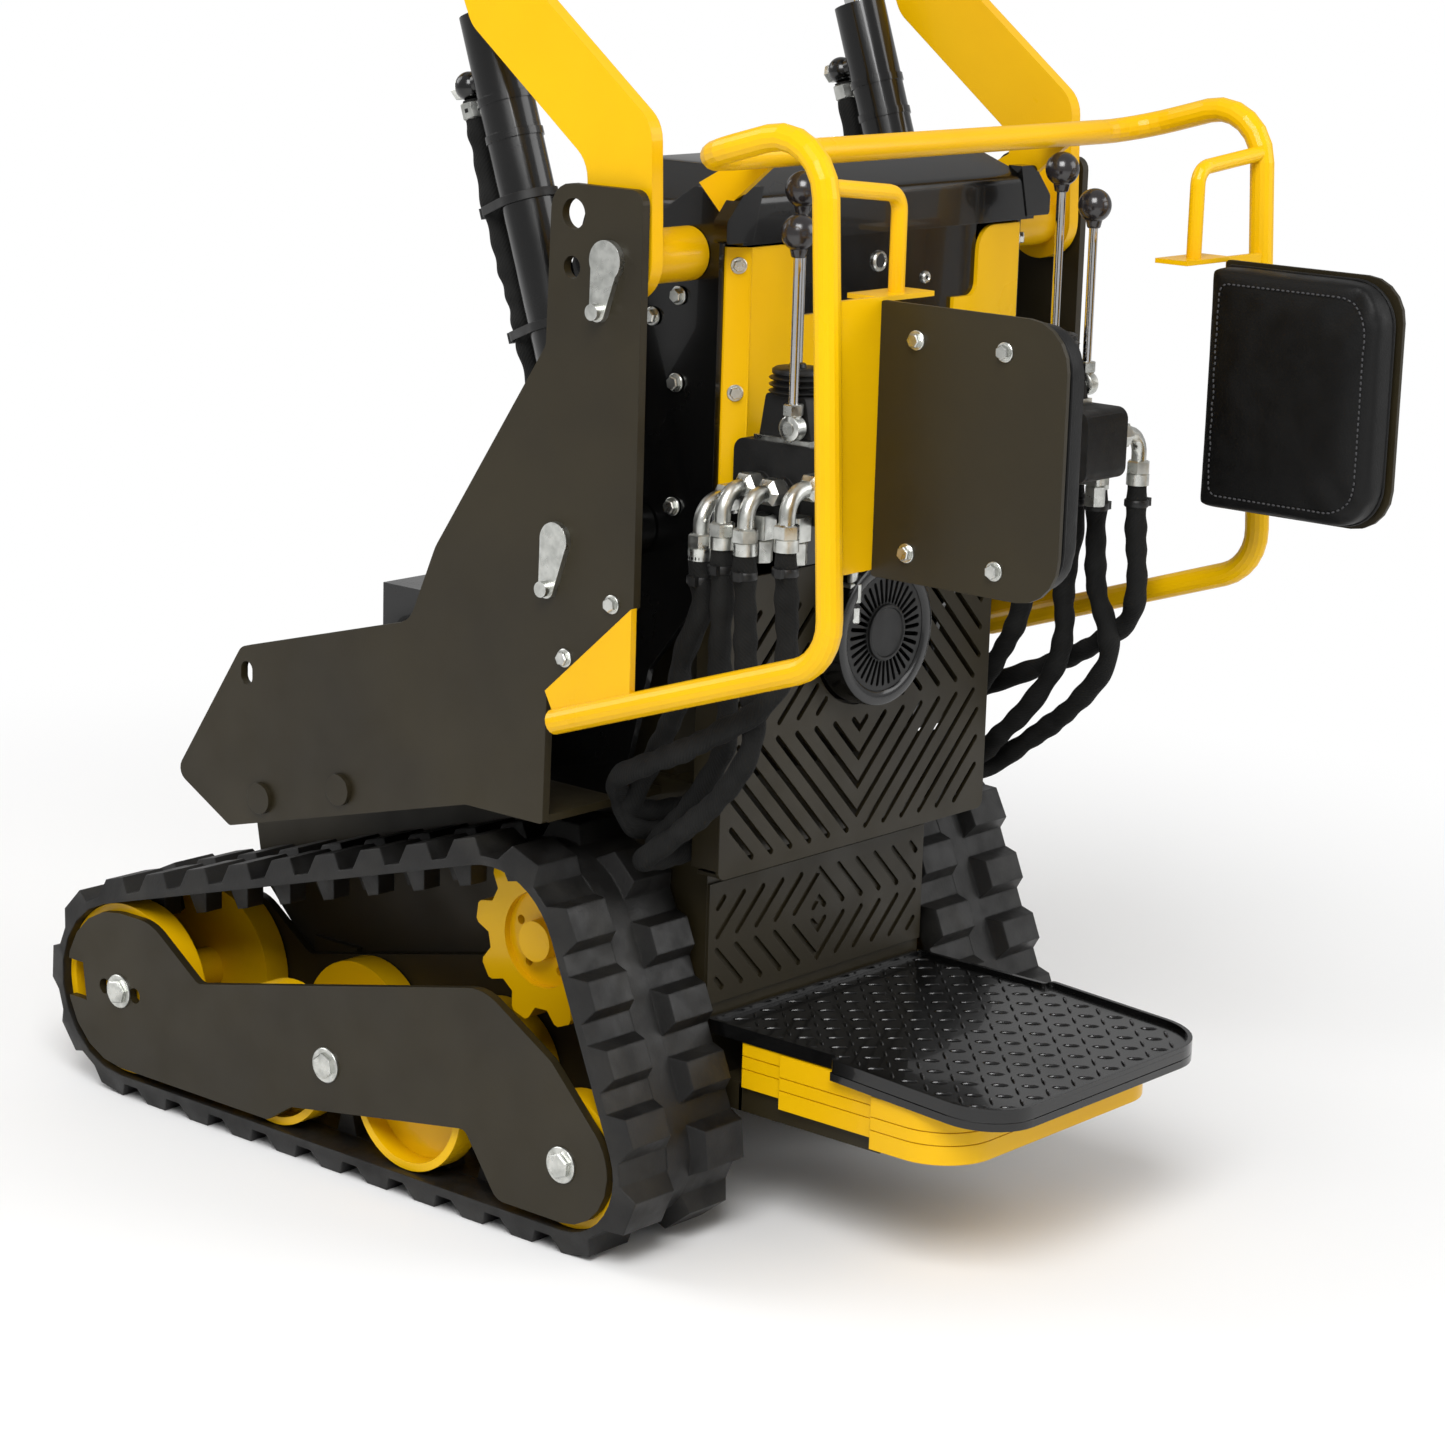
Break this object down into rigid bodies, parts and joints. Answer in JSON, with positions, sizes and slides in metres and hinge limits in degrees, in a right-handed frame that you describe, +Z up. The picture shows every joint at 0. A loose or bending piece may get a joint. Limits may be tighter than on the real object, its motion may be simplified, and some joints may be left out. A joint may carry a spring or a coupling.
{
  "type": "mini skid steer loader",
  "caption": "Stand-on mini skid steer loader on rubber tracks, with a raised boom and bucket, side guards, knee pads and a rear platform",
  "frame": {"origin": "on the ground, in the middle of the machine's overall length and width, with the boom raised", "axes": "+X is the machine's right, +Y is forward to the bucket, +Z is up"},
  "size_m": [0.76, 1.9812, 2.095],
  "materials": {
    "track_rubber": "moulded black rubber",
    "yellow_paint": "gloss yellow enamel",
    "satin_black_paint": "satin olive-black enamel",
    "gloss_black_paint": "gloss black enamel",
    "vinyl": "black vinyl over foam",
    "hose_rubber": "black sleeved hose",
    "zinc_steel": "zinc-plated steel",
    "chrome_rod": "chromed steel"
  },
  "bodies": {
    "root": {"track_left": "track_rubber", "track_right": "track_rubber", "track_frames": "satin_black_paint", "sprockets": "yellow_paint", "rollers": "yellow_paint", "chassis": "satin_black_paint", "outer_plates": "satin_black_paint", "inner_plates": "gloss_black_paint", "hood": "gloss_black_paint", "control_panel": "gloss_black_paint", "engine": "satin_black_paint", "recoil_starter": "gloss_black_paint", "upper_grille": "satin_black_paint", "lower_grille": "satin_black_paint", "platform": "satin_black_paint", "tread_plate": "gloss_black_paint", "platform_weights": "yellow_paint", "guard_left": "yellow_paint", "guard_right": "yellow_paint", "guard_crossbar": "yellow_paint", "pad_plates": "satin_black_paint", "cushion_left": "vinyl", "cushion_right": "vinyl", "side_panels": "yellow_paint", "valves": "gloss_black_paint", "levers": "zinc_steel", "hoses_left": "hose_rubber", "hoses_right": "hose_rubber", "pin_keepers": "zinc_steel", "front_box": "gloss_black_paint"},
    "boom": {"arm_left": "yellow_paint", "arm_right": "yellow_paint", "boom_cross": "yellow_paint"},
    "lift_barrel_left": {"lift_barrel_left": "gloss_black_paint", "lift_hose_left": "hose_rubber"},
    "lift_barrel_right": {"lift_barrel_right": "gloss_black_paint", "lift_hose_right": "hose_rubber"},
    "lift_rod_left": {"lift_rod_left": "chrome_rod"},
    "lift_rod_right": {"lift_rod_right": "chrome_rod"},
    "tilt_barrel": {"tilt_barrel": "gloss_black_paint"},
    "tilt_rod": {"tilt_rod": "chrome_rod"},
    "tool": {"tool_plate": "satin_black_paint", "bucket": "yellow_paint"}
  },
  "joints": [
    {"name": "boom_lift", "type": "hinge", "parent": "root", "child": "boom", "pos_m": [0, -0.49665, 1.028], "axis": [1, 0, 0], "range_deg": [-82, 0]},
    {"name": "lift_swing_left", "type": "hinge", "parent": "root", "child": "lift_barrel_left", "pos_m": [-0.298, -0.43565, 0.746], "axis": [1, 0, 0], "range_deg": [-71.2, 0]},
    {"name": "lift_stroke_left", "type": "slide", "parent": "lift_barrel_left", "child": "lift_rod_left", "axis": [0, 0.3256, 0.9455], "range_m": [-0.35, 0]},
    {"name": "lift_swing_right", "type": "hinge", "parent": "root", "child": "lift_barrel_right", "pos_m": [0.298, -0.43565, 0.746], "axis": [1, 0, 0], "range_deg": [-71.2, 0]},
    {"name": "lift_stroke_right", "type": "slide", "parent": "lift_barrel_right", "child": "lift_rod_right", "axis": [0, 0.3256, 0.9455], "range_m": [-0.35, 0]},
    {"name": "bucket_tilt", "type": "hinge", "parent": "boom", "child": "tool", "pos_m": [0, 0.53735, 1.905], "axis": [1, 0, 0], "range_deg": [-34, 104]},
    {"name": "tilt_swing", "type": "hinge", "parent": "boom", "child": "tilt_barrel", "pos_m": [0, -0.00095, 1.7506], "axis": [1, 0, 0], "range_deg": [-0.6, 1.6]},
    {"name": "tilt_stroke", "type": "slide", "parent": "tilt_barrel", "child": "tilt_rod", "axis": [0, 0.9151, 0.4033], "range_m": [-0.151, 0.0494]}
  ],
  "couplings": [
    {"joint": "lift_swing_left", "follows": "boom_lift", "ratio": 0.867},
    {"joint": "lift_stroke_left", "follows": "boom_lift", "m_per_rad": 0.2442},
    {"joint": "lift_swing_right", "follows": "boom_lift", "ratio": 0.867},
    {"joint": "lift_stroke_right", "follows": "boom_lift", "m_per_rad": 0.2442},
    {"joint": "tilt_swing", "follows": "bucket_tilt", "ratio": 0.015},
    {"joint": "tilt_stroke", "follows": "bucket_tilt", "m_per_rad": -0.0831}
  ]
}
